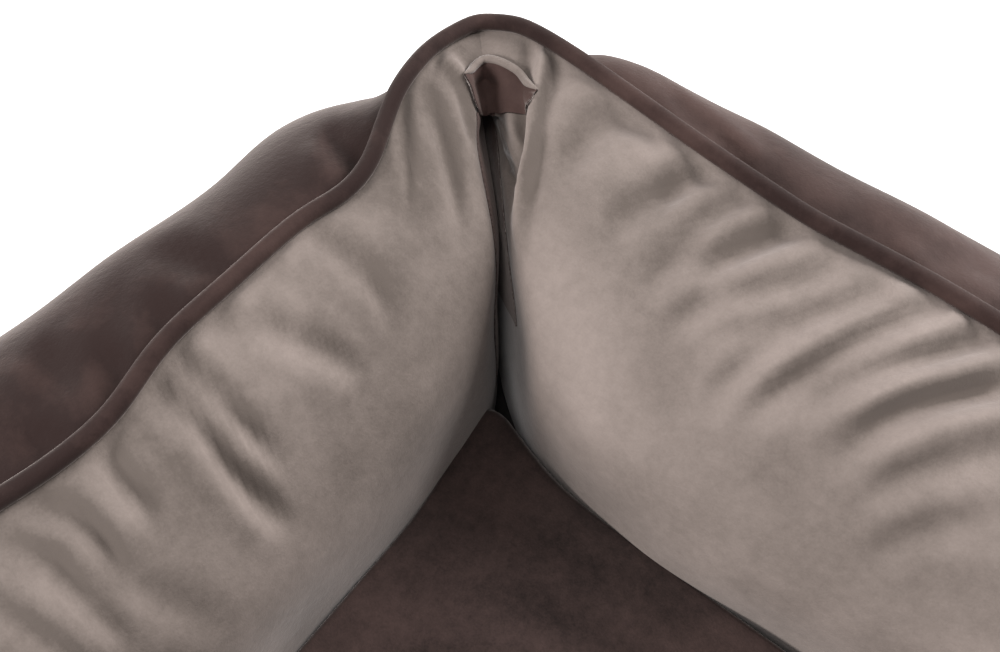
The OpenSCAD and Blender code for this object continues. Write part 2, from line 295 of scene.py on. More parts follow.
# How far the same two walls stand out from an even bolster in mm, and how much fuller than even
# their outer shoulders are, at distances from the back left corner in mm.
outer_swell = {LEFT: ((0, 0), (90, -1), (120, 1), (160, 5), (210, 3), (260, 3.5), (310, 7), (345, 12),
                      (380, 15), (425, 15)),
               REAR: ((0, 0), (80, 0), (500, 0))}
inner_swell = {LEFT: ((0, -16), (60, -14), (140, -12), (425, -10)),
               REAR: ((0, 4), (50, 10), (120, 16), (180, 14), (300, 9), (500, 3))}
outer_fullness = {LEFT: ((0, -0.95), (85, -0.8), (105, -0.45), (130, -0.1), (165, 0.17), (210, 0.22),
                         (260, 0.35), (320, 0.46), (425, 0.6)),
                  REAR: ((0, -0.95), (65, -0.95), (100, -0.4), (150, 0), (500, 0))}


def smooth(t):
    t = np.clip(t, 0, 1)
    return t * t * (3 - 2 * t)


def curve_through(knots, at):
    """A smooth curve through knots (place, value), read at one place."""
    x, y = np.array(knots, float).T
    k = int(np.clip(np.searchsorted(x, at) - 1, 0, len(x) - 2))
    slope = np.gradient(y, x)
    width = x[k + 1] - x[k]
    t = (at - x[k]) / width
    return ((1 + 2 * t) * (1 - t) ** 2 * y[k] + t * (1 - t) ** 2 * width * slope[k]
            + t * t * (3 - 2 * t) * y[k + 1] + t * t * (t - 1) * width * slope[k + 1])


def arc_inset(away, radius):
    """How far a rounded corner lies in from the straight line, at a distance from its mitre."""
    share = np.minimum(away / radius, 1) / math.sqrt(2)
    return radius * (1 - math.sin(math.pi / 4 + math.asin(share)))


def wall_length(side):
    return 2 * (half_size[0] if side in (FRONT, REAR) else half_size[1])


def stations(side):
    half = wall_length(side) / 2
    steps = round((half - near_corner[-1]) / station_gap)
    rest = near_corner[-1] + (half - near_corner[-1]) * np.arange(1, steps + 1) / steps
    first = np.concatenate([near_corner, rest])
    return np.concatenate([first, 2 * half - first[-2:0:-1]])


def on_side(side, points):
    """Points [along, in, up] of a wall's own frame, put in their place round the bed."""
    corner = half_size * ((-1 if side in (FRONT, LEFT) else 1), (-1 if side in (FRONT, RIGHT) else 1))
    c, s = ((1, 0), (0, 1), (-1, 0), (0, -1))[side]
    out = points.copy()
    out[..., 0] = corner[0] + c * points[..., 0] - s * points[..., 1]
    out[..., 1] = corner[1] + s * points[..., 0] + c * points[..., 1]
    return out


def at_back_left(side, along):
    """True on the half of a wall that ends at the back left corner."""
    half = wall_length(side) / 2
    return (side == LEFT and along <= half) or (side == REAR and along > half)


def uneven(table, side, along):
    """A value from one of the tables above. It dies away on the far half of the wall."""
    if side not in table:
        return 0.0
    gone = along if side == LEFT else wall_length(side) - along
    half = wall_length(side) / 2
    return curve_through(table[side], min(gone, half) * 1000) * float(1 - smooth((gone - half) / 0.2))


def crest_at(side, along):
    away = min(along, wall_length(side) - along)
    if at_back_left(side, along):
        return curve_through(leaning_crest[side], away * 1000) / 1000
    wander = 0.0022 * math.sin(along * 21 + side) + 0.0014 * math.sin(along * 43 + 2 * side)
    wander *= smooth(away / 0.09) * smooth((wall_length(side) / 2 - away) / 0.05)
    straight = crest_inset + wander
    base = corner_crest_inset + arc_inset(away, crest_corner_radius)
    return base + (straight - corner_crest_inset) * smooth((away - crest_corner_radius) / crest_run)


def height_share(side, along):
    """A wall's height there as a share of the full height, less than 1 at the entrance."""
    if side != FRONT:
        return 1.0
    reach = entrance_flat / 2 + entrance_slope - abs(along - half_size[0])
    return 1 - (1 - entrance_height / cad_box[1][2]) * float(smooth(reach / entrance_slope))


def run_along(line):
    """The way gone along a line of points, at each of them."""
    return np.concatenate([[0], np.cumsum(np.linalg.norm(np.diff(line, axis=0), axis=1))])


def even(points, count):
    """A curve's points spaced out evenly along it."""
    run = run_along(points)
    wanted = np.linspace(0, run[-1], count)
    return np.stack([np.interp(wanted, run, points[:, i]) for i in range(points.shape[1])], axis=1)


def section(crest, edge, foot, top, face, fullness=upper_fullness):
    """One face of a stuffed wall, from its foot up to the crest, as [in, up] points. face is -1
    for the outer face and 1 for the inner."""
    belly_fullness = lower_fullness[0 if face < 0 else 1]
    angle = np.radians(np.linspace(0, 90, 60))
    rise = np.stack([np.cos(angle), np.sin(angle)], 1) ** (2 / fullness)
    low = np.radians(np.linspace(-90, 0, 90))[:-1]
    fall = np.stack([np.cos(low), np.abs(np.sin(low))], 1) ** (2 / belly_fullness) * (1, -1)
    reach = abs(edge - crest)
    upper = np.stack([crest + face * reach * rise[:, 0], belly + (top - belly) * rise[:, 1]], 1)
    spread = abs(foot - crest)
    lower = np.stack([crest + face * (spread + (reach - spread) * fall[:, 0]),
                      belly + (belly - cover_foot) * fall[:, 1]], 1)
    return np.concatenate([lower, upper])


def slit_curve(crest, top):
    """The inner face in the plane of a corner's mitre: a gathered web with a sunk panel under its
    rim, then a lip, and the slit's depth below it."""
    (rim_in, rim_up), (lip_in, lip_up) = web_rim, web_lip
    under = rim_up - 0.007
    bridge = [(crest + (rim_in - crest) * t, top - (top - rim_up) * t ** 1.6)
              for t in np.linspace(0, 1, 9)]
    sunk = [(rim_in + 0.001, rim_up - 0.003), (rim_in, under)]
    panel = [(rim_in + (lip_in - rim_in) * t, under + (lip_up - under) * t) for t in (0.3, 0.6, 1)]
    curl = [(lip_in - 0.002, lip_up - 0.004), (lip_in - 0.008, lip_up - 0.007),
            (slit_inset, lip_up - 0.012)]
    depth = [(slit_inset, up) for up in np.linspace(lip_up - 0.018, 0.05, 20)]
    foot = [(slit_inset + 0.02, 0.02), (inner_foot_inset - 0.02, cover_foot)]
    return np.array(bridge + sunk + panel + curl + depth + foot)


def drawn_in(full, side, crest, top, away):
    """The inner face near a mitre, where the slit draws it in and the web bridges it."""
    drawn = even(slit_curve(crest, top), INNER_ROWS)
    t = np.linspace(0, 1, INNER_ROWS)
    mouth = slit_mouth[side] * (1 - smooth((t - 0.17) / 0.22))
    radius = slit_radius[side] + (slit_low_radius[side] - slit_radius[side]) * smooth((t - 0.2) / 0.35)
    gone = np.clip((away - mouth) / radius, 0, 1)
    rounding = (1 - (1 - gone) ** 2.8) ** (1 / 2.8)
    web = smooth(away / web_reach[side])
    open_up = web + (rounding - web) * smooth((t - 0.13) / 0.06)
    return drawn + (full - drawn) * open_up[:, None]


def column(side, along):
    """One station of the cover: outer foot, crest, inner foot, in the wall's own frame."""
    length = wall_length(side)
    away = min(along, length - along)
    share = height_share(side, along)
    crest = crest_at(side, along)
    corner = 1 - smooth(away / corner_reach)
    top = cover_top - corner_sink * corner + sway * (1 - corner) * math.sin(along * 17 + side)
    outer_edge = arc_inset(away, outer_corner_radius)
    outer_foot = min(max(foot_inset, outer_edge + 0.012), crest - 0.008)
    shoulder = upper_fullness + uneven(outer_fullness, side, along)
    swell = uneven(outer_swell, side, along) / 1000
    outer = even(section(crest, outer_edge - swell, outer_foot, top, -1, shoulder), OUTER_ROWS)
    inner_edge = wall_thickness - 0.004 * corner + uneven(inner_swell, side, along) / 1000
    full = even(section(crest, inner_edge, inner_foot_inset, top, 1)[::-1], INNER_ROWS)
    if away < slit_reach:
        full = drawn_in(full, side, crest, top, away)
    profile = np.concatenate([outer, full[1:]])
    inset = profile[:, 0]
    across = inset + along / length * (length - 2 * inset)
    return np.stack([across, inset, profile[:, 1] * share], axis=1)


def build_cover():
    """Every station of the four walls, as an array [station, row, xyz], and each wall's first."""
    columns, starts = [], []
    for side in range(4):
        starts.append(len(columns))
        for along in stations(side)[:-1]:
            columns.append(on_side(side, column(side, along)))
    return np.array(columns), starts


cover, wall_starts = build_cover()


def refine(points, looped):
    """Twice as many points along the first axis, on a smooth curve through the old ones."""
    if looped:
        before, after, beyond = (np.roll(points, shift, axis=0) for shift in (1, -1, -2))
        between = (9 * (points + after) - before - beyond) / 16
        return np.stack([points, between], axis=1).reshape(-1, *points.shape[1:])
    first = 2 * points[:1] - points[1:2]
    last = 2 * points[-1:] - points[-2:-1]
    wide = np.concatenate([first, points, last])
    between = (9 * (wide[1:-2] + wide[2:-1]) - wide[:-3] - wide[3:]) / 16
    out = np.empty((2 * len(points) - 1, *points.shape[1:]))
    out[0::2] = points
    out[1::2] = between
    return out


def unit(vectors):
    return vectors / np.maximum(np.linalg.norm(vectors, axis=-1, keepdims=True), 1e-12)


def grid_normals(points, looped):
    if looped:
        along = np.roll(points, -1, axis=0) - np.roll(points, 1, axis=0)
    else:
        along = np.gradient(points, axis=0)
    return unit(np.cross(along, np.gradient(points, axis=1)))


def lay_painted_shade(piece, painted_shade):
    """Stores the painted light and shade at each point, for the velvet to read."""
    piece.data.attributes.new("painted_shade_and_nap", "FLOAT", "POINT").data.foreach_set("value", painted_shade)


def cloth_piece(name, points, normals, thickness, material, painted_shade):
    """A closed sheet of cloth: its face, its back and the edges between them."""
    columns, rows = points.shape[:2]
    count = columns * rows
    back = points - normals * thickness
    faces = [(a, a + rows, a + rows + 1, a + 1)
             for k in range(columns - 1) for a in range(k * rows, (k + 1) * rows - 1)]
    faces += [tuple(count + v for v in reversed(face)) for face in faces]
    border = ([k * rows for k in range(columns)]
              + [(columns - 1) * rows + j for j in range(1, rows)]
              + [k * rows + rows - 1 for k in range(columns - 2, -1, -1)]
              + [j for j in range(rows - 2, 0, -1)])
    for a, b in zip(border, border[1:] + border[:1]):
        faces.append((b, a, count + a, count + b))
    both_sides = np.concatenate([points.reshape(-1, 3), back.reshape(-1, 3)])
    piece = new_piece(name, both_sides, faces, material)
    both = np.concatenate([normals.reshape(-1, 3), -normals.reshape(-1, 3)])
    piece.data.normals_split_custom_set_from_vertices([tuple(n) for n in both])
    lay_painted_shade(piece, np.tile(painted_shade.reshape(-1), 2))
    return piece


# Creases pressed into the stuffed walls, each (depth, width, points), with points [distance from
# the wall's back left end, way down from the piped seam]. All in mm. A depth below zero is a ridge.
creases = {
    (REAR, "inner"): (
        (4.2, 6, (216, 6), (178, 42), (142, 82)),
        (4.6, 6, (322, 10), (298, 31), (263, 55), (229, 82), (202, 109)),
        (2.6, 6, (163, 8), (144, 26), (122, 54)),
        (2.2, 5, (184, 10), (160, 34), (132, 66)),
        (3.4, 9, (118, 10), (92, 24), (65, 60), (42, 95)),
        (2.2, 6, (141, 28), (100, 74), (77, 108)),
        (2.4, 5, (238, 20), (214, 38), (166, 73), (116, 119)),
        (2.0, 5, (236, 34), (196, 66), (150, 104)),
        (3.4, 6, (266, 18), (219, 56), (182, 95), (152, 133)),
        (2.2, 5, (276, 26), (236, 60), (190, 104), (172, 122)),
        (3.8, 6, (297, 10), (250, 51), (216, 82), (175, 129)),
        (2.6, 5, (330, 30), (290, 56), (250, 88)),
        (3.8, 6, (345, 18), (304, 50), (274, 75), (247, 100)),
        (2.1, 7, (352, 44), (301, 79), (262, 112)),
        (2.0, 6, (155, 52), (128, 81), (108, 110)),
        (1.3, 7, (340, 80), (305, 105), (280, 130)),
        (-4.2, 5, (51, 6), (40, 40), (34, 56), (27, 78), (16, 106), (9, 135)),
        (3.2, 5, (28, 50), (20, 78), (9, 108), (4, 135)),
    ),
    (LEFT, "inner"): (
        (2.2, 8, (163, 8), (145, 28), (129, 48), (116, 77)),
        (2.8, 7, (214, 24), (188, 50), (167, 67), (150, 84)),
        (3.2, 7, (267, 8), (254, 37), (243, 63), (231, 82)),
        (3.4, 7, (288, 2), (273, 30), (268, 55), (258, 83), (241, 108)),
        (2.8, 7, (321, 4), (323, 21), (314, 46)),
        (3.2, 7, (366, 5), (353, 22), (350, 36), (350, 54)),
        (2.4, 8, (377, 30), (373, 55), (369, 78)),
        (1.8, 7, (75, 8), (79, 31), (84, 56)),
        (2.2, 8, (54, 22), (48, 52), (45, 86), (47, 108)),
        (1.6, 8, (239, 5), (222, 32)),
        (-2.5, 5, (33, 11), (21, 27), (13, 49), (9, 76)),
    ),
    (LEFT, "outer"): (
        (3.5, 10, (112, 4), (123, 26), (133, 57)),
        (2.6, 9, (220, 2), (236, 26), (254, 60)),
        (2.0, 9, (264, 3), (261, 24)),
        (2.0, 8, (295, 8), (303, 34)),
        (2.4, 9, (341, 3), (351, 25)),
        (2.0, 8, (321, 32), (320, 61)),
    ),
    (REAR, "outer"): (
        (2.2, 8, (178, 5), (212, 12)),
        (1.6, 8, (181, 11), (163, 19), (132, 21)),
        (2.2, 9, (247, 2), (275, 21), (292, 22)),
        (2.4, 9, (294, 14), (329, 38)),
    ),
}
# Painted light and shade on the panels beside the back left corner: how much lighter or darker each is
# painted, for how the light falls on it.
painted_panel_light = {(REAR, "outer"): 0.19, (LEFT, "outer"): -0.18,
                  (LEFT, "inner"): -0.20, (REAR, "inner"): 0.04}
# Painted pools of light, above zero, and of shade, below it: (from the back left end, down from the
# seam, reach, by how much), in mm.
painted_light_spots = {(REAR, "inner"): (58, 165, 48, 0.42), (LEFT, "inner"): (80, 50, 60, -0.22)}
crease_depth = 1.25
slope_shade = 0.7             # painted shade: how much a crease's slope lightens one flank and darkens the other
height_shade = 45               # and painted shade: how much its height darkens valleys and lightens ridges
plain_end = 45              # mm with no crease at each end of a wall
drawn_reach = 390           # mm from the back left corner whose creases the table above gives
tape_width = 0.0184         # both halves of a zip's tape
tape_thickness = 0.0008
tape_ease = 0.012           # how far past the tapes the cloth is eased back
tape_gap = 0.0003
lump_count = 14
lump_height = 0.00045
chance = np.random.default_rng(7)


def chance_creases(side, kind):
    """Gathers that run down from the piped seam, leaning towards the nearer corner."""
    length = wall_length(side) * 1000
    at = plain_end + chance.uniform(0, 30)
    made = []
    while at < length - plain_end:
        drawn = side in (LEFT, REAR) and at < drawn_reach
        depth = chance.uniform(0.9, 2.4) * (0.15 if drawn else 1)
        run = chance.uniform(35, 110) * (0.6 if kind == "outer" else 1)
        lean = chance.uniform(0.25, 1.0) * (-1 if at < length / 2 else 1)
        start = chance.uniform(2, 14)
        middle = (at + lean * run * 0.45 + chance.uniform(-5, 5), start + run * 0.5)
        end = (at + lean * run, start + run)
        made.append((depth, chance.uniform(6, 10), (at, start), middle, end))
        at += chance.uniform(24, 62)
    return made


def crease_height(crease, gone, down):
    """How far one crease moves the cloth, for points given by their place on the wall, in mm."""
    depth, width, *points = crease
    line = np.array(points, float)
    for _ in range(2):
        line = refine(line, looped=False)
    steps, run = np.diff(line, axis=0), run_along(line)
    near = np.full(gone.shape, np.inf)
    share, side_on = np.zeros(gone.shape), np.zeros(gone.shape)
    for (x, y), (dx, dy), start in zip(line, steps, run):
        square = dx * dx + dy * dy
        t = np.clip(((gone - x) * dx + (down - y) * dy) / square, 0, 1)
        across, up = gone - x - t * dx, down - y - t * dy
        reach = np.hypot(across, up)
        closer = reach < near
        near = np.where(closer, reach, near)
        share = np.where(closer, (start + t * math.sqrt(square)) / run[-1], share)
        side_on = np.where(closer, np.sign(across * dy - up * dx), side_on)
    q = near * side_on / width
    shape = np.exp(-q ** 2)
    for share_up, place in ((0.5, 1.8), (0.35, -1.8)):
        shape = shape - share_up * np.exp(-((q - place) / 1.1) ** 2)
    fade = smooth((share + 0.2) / 0.35) * smooth((1.02 - share) / 0.4)
    return -crease_depth * depth / 1000 * shape * fade


def lumps(points):
    """The filling's own slow unevenness."""
    rng = np.random.default_rng(21)
    height = np.zeros(points.shape[:2])
    for _ in range(lump_count):
        wave = rng.normal(size=3)
        wave *= 2 * math.pi / rng.uniform(0.07, 0.16) / np.linalg.norm(wave)
        height += np.sin(points @ wave + rng.uniform(0, 6.28))
    return lump_height * height


def way_down(points):
    """How far each point of a cloth's grid lies from its first row, in mm along the cloth."""
    steps = np.diff(points, axis=1, prepend=points[:, :1])
    return np.cumsum(np.linalg.norm(steps, axis=2), axis=1) * 1000


def creased(points, kind, station_side, gone):
    """A fine grid of one kind of panel with its creases. Row 0 or the last row is the piped seam."""
    down = way_down(points)
    if kind == "outer":
        down = down[:, -1:] - down
    height = lumps(points)
    for side in range(4):
        rows = station_side == side
        length = wall_length(side) * 1000
        spot = np.repeat(gone[rows][:, None], points.shape[1], axis=1)
        wall_height = np.zeros(spot.shape)
        for crease in list(creases.get((side, kind), ())) + chance_creases(side, kind):
            wall_height += crease_height(crease, spot, down[rows])
        corner = smooth(np.minimum(spot, length - spot) / 8)
        height[rows] = (height[rows] + wall_height) * corner
    from_foot = down[:, -1:] + down[:, :1] - down
    height *= smooth(down / 12) * smooth((from_foot - (45 if kind == "outer" else 0)) / 30)
    # Painted shade on the creases: one flank of each is lighter and the other darker, and valleys are
    # darker and ridges lighter.
    gap = np.linalg.norm(np.roll(points, -1, axis=0) - np.roll(points, 1, axis=0), axis=2)
    slope = (np.roll(height, -1, axis=0) - np.roll(height, 1, axis=0)) / np.maximum(gap, 1e-4)
    brushed = np.where(station_side == LEFT, 1, -1)[:, None]
    painted_shade = np.clip(slope_shade * slope * brushed + height_shade * height, -0.8, 0.6)
    # Painted light and shade on whole panels and in spots beside the back left corner.
    for side in (REAR, LEFT):
        rows = station_side == side
        painted_shade[rows] += painted_panel_light[side, kind]
        if (side, kind) in painted_light_spots:
            along, low, reach, more = painted_light_spots[side, kind]
            near = ((gone[rows][:, None] - along) ** 2 + (down[rows] - low) ** 2) / reach ** 2
            painted_shade[rows] += more * np.exp(-near)
    return points + grid_normals(points, looped=True) * height[..., None], painted_shade


def zip_axes(prefix):
    """A zip's place: the middle of its tapes' back, the way across them and the way out."""
    low, high = (np.array(corner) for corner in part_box(f"{prefix}_zip_tapes"))
    deep, tall = (high - low)[1:]
    square = tape_width ** 2 - tape_thickness ** 2
    across = np.array((0, deep * tape_width - tall * tape_thickness,
                       tall * tape_width - deep * tape_thickness)) / square
    out = np.array((0, across[2], -across[1]))
    middle = np.array((0, low[1] + across[1] * tape_width / 2, high[2] - across[2] * tape_width / 2))
    return middle, across, out


def settled_on_zip(points, prefix):
    """Cloth laid flat against the back of a zip's tapes, and eased into the rest of the panel."""
    middle, across, out = zip_axes(prefix)
    half_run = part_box(f"{prefix}_zip_tapes")[1][0]
    away = points - middle
    reach, rise = away @ across, away @ out
    share = 1 - smooth((np.abs(reach) - tape_width * 0.55) / tape_ease)
    share = share * (1 - smooth((np.abs(away[..., 0]) - half_run) / 0.03)) * (np.abs(rise) < 0.03)
    return points - out * ((rise + tape_gap) * share)[..., None]


def wall_places():
    """For each station of the cover, its wall and how far it lies from the wall's back left end."""
    side_of, gone = [], []
    for side in range(4):
        along = stations(side)[:-1]
        side_of.append(np.full(len(along), side))
        gone.append(along if side == LEFT else wall_length(side) - along)
    return np.concatenate(side_of), np.concatenate(gone) * 1000


def wall_panels():
    """Makes the eight panels, and returns the inner cloth's grid."""
    side_of, gone = wall_places()
    fine_side = np.repeat(side_of, 2)
    between = np.where(side_of == np.roll(side_of, -1), (gone + np.roll(gone, -1)) / 2, gone)
    ends = side_of != np.roll(side_of, -1)
    between[ends] = np.where(side_of[ends] == LEFT, gone[ends] + 0.35, gone[ends] - 0.35)
    fine_gone = np.stack([gone, between], axis=1).reshape(-1)
    parts = {"outer": cover[:, :CREST_ROW + 1], "inner": cover[:, CREST_ROW:]}
    for kind, rows in parts.items():
        fine = refine(rows, looped=True)
        fine = refine(fine.swapaxes(0, 1), looped=False).swapaxes(0, 1)
        fine, painted_shade = creased(fine, kind, fine_side, fine_gone)
        if kind == "outer":
            fine = settled_on_zip(fine, "wall")
        normals = grid_normals(fine, looped=True)
        for side, name in enumerate(SIDES):
            first = 2 * wall_starts[side]
            last = 2 * (wall_starts[side + 1] if side < LEFT else len(cover))
            span = np.arange(first, last + 1) % len(fine)
            piece = cloth_piece(f"{name}_{kind}_cover", fine[span], normals[span], velvet_thickness,
                                chocolate if kind == "outer" else taupe, painted_shade[span])
            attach(piece, "walls")
            if kind == "inner":
                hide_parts(f"{name}_inner_panel", f"{name}_bolster")
            else:
                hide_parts(f"{name}_outer_panel")
    return fine


inner_cloth = wall_panels()

# ---- Corner shade cloths --------------------------------------------------------------------
# Dark velvet pieces laid on the inner cloth round each corner stand in for the shade there, as painted
# shade: a niche under the web's hem, above the slit's mouth, and a strip down the slit.

# The top and bottom edges of each dark piece at the back left corner and at the others, as [round the
# corner from the mitre, down from the seam] in mm.
back_left_niche = (((-35, 42), (-27, 33), (-19, 27), (-9, 22), (1, 21), (11, 23), (22, 28)),
                   ((-31, 52), (-22, 53), (-10, 51), (1, 50), (13, 49)))
back_left_strip = (((-3, 48), (14, 48)), ((-4, 215), (16, 215)))
other_niche = (((-24, 34), (-15, 27), (-5, 23), (5, 23), (15, 27), (24, 34)),
               ((-17, 50), (0, 51), (17, 50)))
other_strip = (((-7, 48), (7, 48)), ((-7, 215), (7, 215)))
shade_cloth_thickness = 0.0012
shade_cloth_stations = 40        # of the cover, looked at on each side of the mitre
shade_cloth_columns = 45
shade_cloth_smoothing = 8
shade_cloth_tone = 0.35
niche_lift = 0.0022         # how far the dark pieces stand off the cover
strip_lift = 0.0008
hem_radius = 0.0021
hem_points = 60


def bent_rod(name, line, radius, closed, material, sides=5, upright=(0.3, 0.8, 0.52)):
    """A rod along a line of points, closed into a loop or with flat ends. Its sides are counted
    from the direction that is level to upright."""
    line = np.array(line, float)
    ahead = np.roll(line, -1, axis=0) - np.roll(line, 1, axis=0)
    if not closed:
        ahead[0], ahead[-1] = line[1] - line[0], line[-1] - line[-2]
    ahead = unit(ahead)
    aside = unit(np.cross(ahead, upright))
    above = np.cross(aside, ahead)
    turn = (np.arange(sides) * 2 * math.pi / sides)[None, :, None]
    circle = np.cos(turn) * aside[:, None] + np.sin(turn) * above[:, None]
    rings = line[:, None] + np.broadcast_to(radius, len(line))[:, None, None] * circle
    count = len(line)
    faces = []
    for k in range(count if closed else count - 1):
        after = (k + 1) % count
        for j in range(sides):
            step = (j + 1) % sides
            faces.append((k * sides + j, k * sides + step, after * sides + step, after * sides + j))
    if not closed:
        faces.append(tuple(reversed(range(sides))))
        faces.append(tuple((count - 1) * sides + j for j in range(sides)))
    return new_piece(name, rings.reshape(-1, 3), faces, material)


def on_cloth(points, spots):
    """Values of a grid read at fractional [column, row] places."""
    k, m = (np.minimum(spots[..., i].astype(int), points.shape[i] - 2) for i in (0, 1))
    part, rest = (spots[..., 0] - k)[..., None], (spots[..., 1] - m)[..., None]
    return ((1 - part) * ((1 - rest) * points[k, m] + rest * points[k, m + 1])
            + part * ((1 - rest) * points[k + 1, m] + rest * points[k + 1, m + 1]))


def corner_shade_cloth(corner, name, edges, lift):
    """A piece of dark cloth, painted shade for the recess there, that follows the cover's surface round
    one corner. Returns its top edge."""
    reach = shade_cloth_stations
    near = np.arange(2 * corner - reach, 2 * corner + reach + 1) % len(inner_cloth)
    block = inner_cloth[near]
    normals = grid_normals(block, looped=False)
    steps = np.interp(np.arange(reach + 1) / 2, np.arange(len(near_corner)), near_corner) * 1000
    steps += 1e-3 * np.arange(reach + 1)
    turn = np.concatenate([-steps[:0:-1], steps])
    down = way_down(block)
    top, bottom = edges
    across = np.linspace(0, 1, shade_cloth_columns)
    along = np.linspace(0, 1, 22 + int((bottom[0][1] - top[0][1]) / 3))
    spots = np.empty((len(across), len(along), 2))
    for i, s in enumerate(across):
        top_at = top[0][0] + s * (top[-1][0] - top[0][0])
        low_at = bottom[0][0] + s * (bottom[-1][0] - bottom[0][0])
        top_down, low_down = curve_through(top, top_at), curve_through(bottom, low_at)
        for j, t in enumerate(along):
            place = np.interp(top_at + (low_at - top_at) * t, turn, np.arange(len(turn)))
            k = int(min(place, len(turn) - 2))
            run = down[k] + (down[k + 1] - down[k]) * (place - k)
            wanted = top_down + (low_down - top_down) * t
            spots[i, j] = place, np.interp(wanted, run, np.arange(len(run)))
    points = on_cloth(block, spots) + lift * on_cloth(normals, spots)
    for _ in range(shade_cloth_smoothing):
        points[1:-1] = (points[:-2] + 2 * points[1:-1] + points[2:]) / 4
    piece = cloth_piece(name, points, grid_normals(points, looped=False), shade_cloth_thickness, chocolate,
                        np.full(points.shape[:2], shade_cloth_tone))
    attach(piece, "walls")
    return points[:, 0]


for side, name in enumerate(("front_left", "front_right", "back_right", "back_left")):
    niche, strip = (back_left_niche, back_left_strip) if side == LEFT else (other_niche, other_strip)
    niche_top = corner_shade_cloth(wall_starts[side], f"{name}_niche", niche, niche_lift)
    corner_shade_cloth(wall_starts[side], f"{name}_slit_lining", strip, strip_lift)
    ends = np.minimum(np.arange(hem_points), np.arange(hem_points)[::-1]) / 10
    hem = bent_rod(f"{name}_hem", even(niche_top, hem_points),
                   hem_radius * np.clip(ends, 0.1, 1) ** 0.5, False, taupe, 10)
    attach(hem, "walls")

# ---- Piping ---------------------------------------------------------------------------------
# A cotton cord in a bias strip of the dark velvet, sewn into the top seam all the way round.

piping_radius = 0.0043
piping_rise = 0.75          # of its radius, above the seam
piping_steps = 1100
piping_sides = 14
piping_smoothing = 6
piping_nap = -0.12


def piping():
    seam = cover[:, CREST_ROW]
    line = even(np.concatenate([seam, seam[:1]]), piping_steps)[:-1]
    for _ in range(piping_smoothing):
        line = (np.roll(line, 1, axis=0) + line * 2 + np.roll(line, -1, axis=0)) / 4
    line[:, 2] += piping_radius * piping_rise
    piece = bent_rod("piping", line, piping_radius, True, chocolate, piping_sides, (0, 0, 1))
    lay_painted_shade(piece, np.full(len(line) * piping_sides, piping_nap))
    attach(piece, "walls")
    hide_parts("piping_cover", "piping_core_cord")


piping()

# ---- Mattress cushion -----------------------------------------------------------------------
# A foam and fibre cushion in dark velvet that drops in between the walls. Its two panels meet in
# a plain seam half way up its side.

cushion_velvet = velvet("mattress_velvet", (0.012, 0.007, 0.006, 1), (0.100, 0.060, 0.053, 1),
                        sheen=0.20, sheen_tint=(1, 0.88, 0.84, 1), cloud=0.35, crease=1.0)
mattress_high = np.array(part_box("mattress_top_panel")[1])
mattress_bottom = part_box("mattress_bottom_panel")[0][2]
mattress_seam = (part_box("mattress_bottom_panel")[1][2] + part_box("mattress_top_panel")[0][2]) / 2
mattress_half = mattress_high[:2] + 0.001
side_reach = 0.009          # how far the side seam stands out past the top's edge
side_run = 0.040            # how much of the flat panel goes into the side
edge_radius = 0.020
crown = 0.008
cushion_grid = 0.006
chance_wrinkles = 16


def squeezed(spot, up):
    """The soft cushion's outline high up, where the four bolsters press on it unevenly."""
    high = smooth((up - mattress_seam) / 0.035)
    x, y = spot
    left, right = smooth((-x - 0.15) / 0.1), smooth((x - 0.15) / 0.1)
    back, front = smooth((y - 0.1) / 0.08), smooth((-y - 0.1) / 0.08)
    corner = np.exp(-(((x + mattress_half[0]) / 0.035) ** 2 + ((y - mattress_half[1]) / 0.035) ** 2))
    x = x + high * (-0.0165 * left + 0.0035 * right - 0.016 * corner)
    y = y + high * (-0.0075 * back - 0.0015 * front + 0.020 * corner)
    return x, y


# Soft wrinkles on the cushion's top, like the walls' creases: [along the back, out from it].
cushion_wrinkles = (
    (1.3, 13, (70, 175), (150, 118), (250, 100)), (1.0, 10, (95, 205), (170, 150), (265, 128)),
    (0.9, 12, (40, 120), (95, 84), (160, 74)), (1.2, 14, (150, 230), (230, 180), (330, 165)),
    (0.8, 10, (60, 60), (110, 48), (180, 50)), (1.0, 16, (250, 260), (340, 205), (450, 190)),
)


def wrinkled(x, y, depth):
    """The height of the cushion's wrinkles, and the painted shade on it: darker towards the back left
    corner and in the wrinkles.
    """
    gone, down = (x + mattress_half[0]) * 1000, (mattress_half[1] - y) * 1000
    height = np.zeros(x.shape)
    rng = np.random.default_rng(11)
    made = list(cushion_wrinkles)
    for _ in range(chance_wrinkles):
        start = rng.uniform((40, 40), (mattress_half[0] * 2000 - 240, mattress_half[1] * 2000 - 140))
        if start[0] + start[1] < 420:
            continue
        turn = rng.uniform(-0.7, 0.5)
        ahead = np.array((math.cos(turn), math.sin(turn)))
        run = rng.uniform(90, 210)
        middle = start + run / 2 * ahead + rng.uniform(-10, 10, 2)
        made.append((rng.uniform(0.5, 1.2), rng.uniform(10, 17), start, middle, start + run * ahead))
    for crease in made:
        height += crease_height(crease, gone, down)
    height *= smooth(depth / 0.03)
    slope = np.gradient(height, axis=1) / cushion_grid
    corner = np.hypot(gone, down) / 1000
    # Painted shade: darker towards the back left corner, and on each wrinkle lighter on one flank,
    # darker on the other and in its hollow.
    shade = 0.50 * smooth((corner - 0.05) / 0.24) - 0.32
    return height, np.clip(shade + 0.5 * slope + 35 * height, -0.5, 0.5)


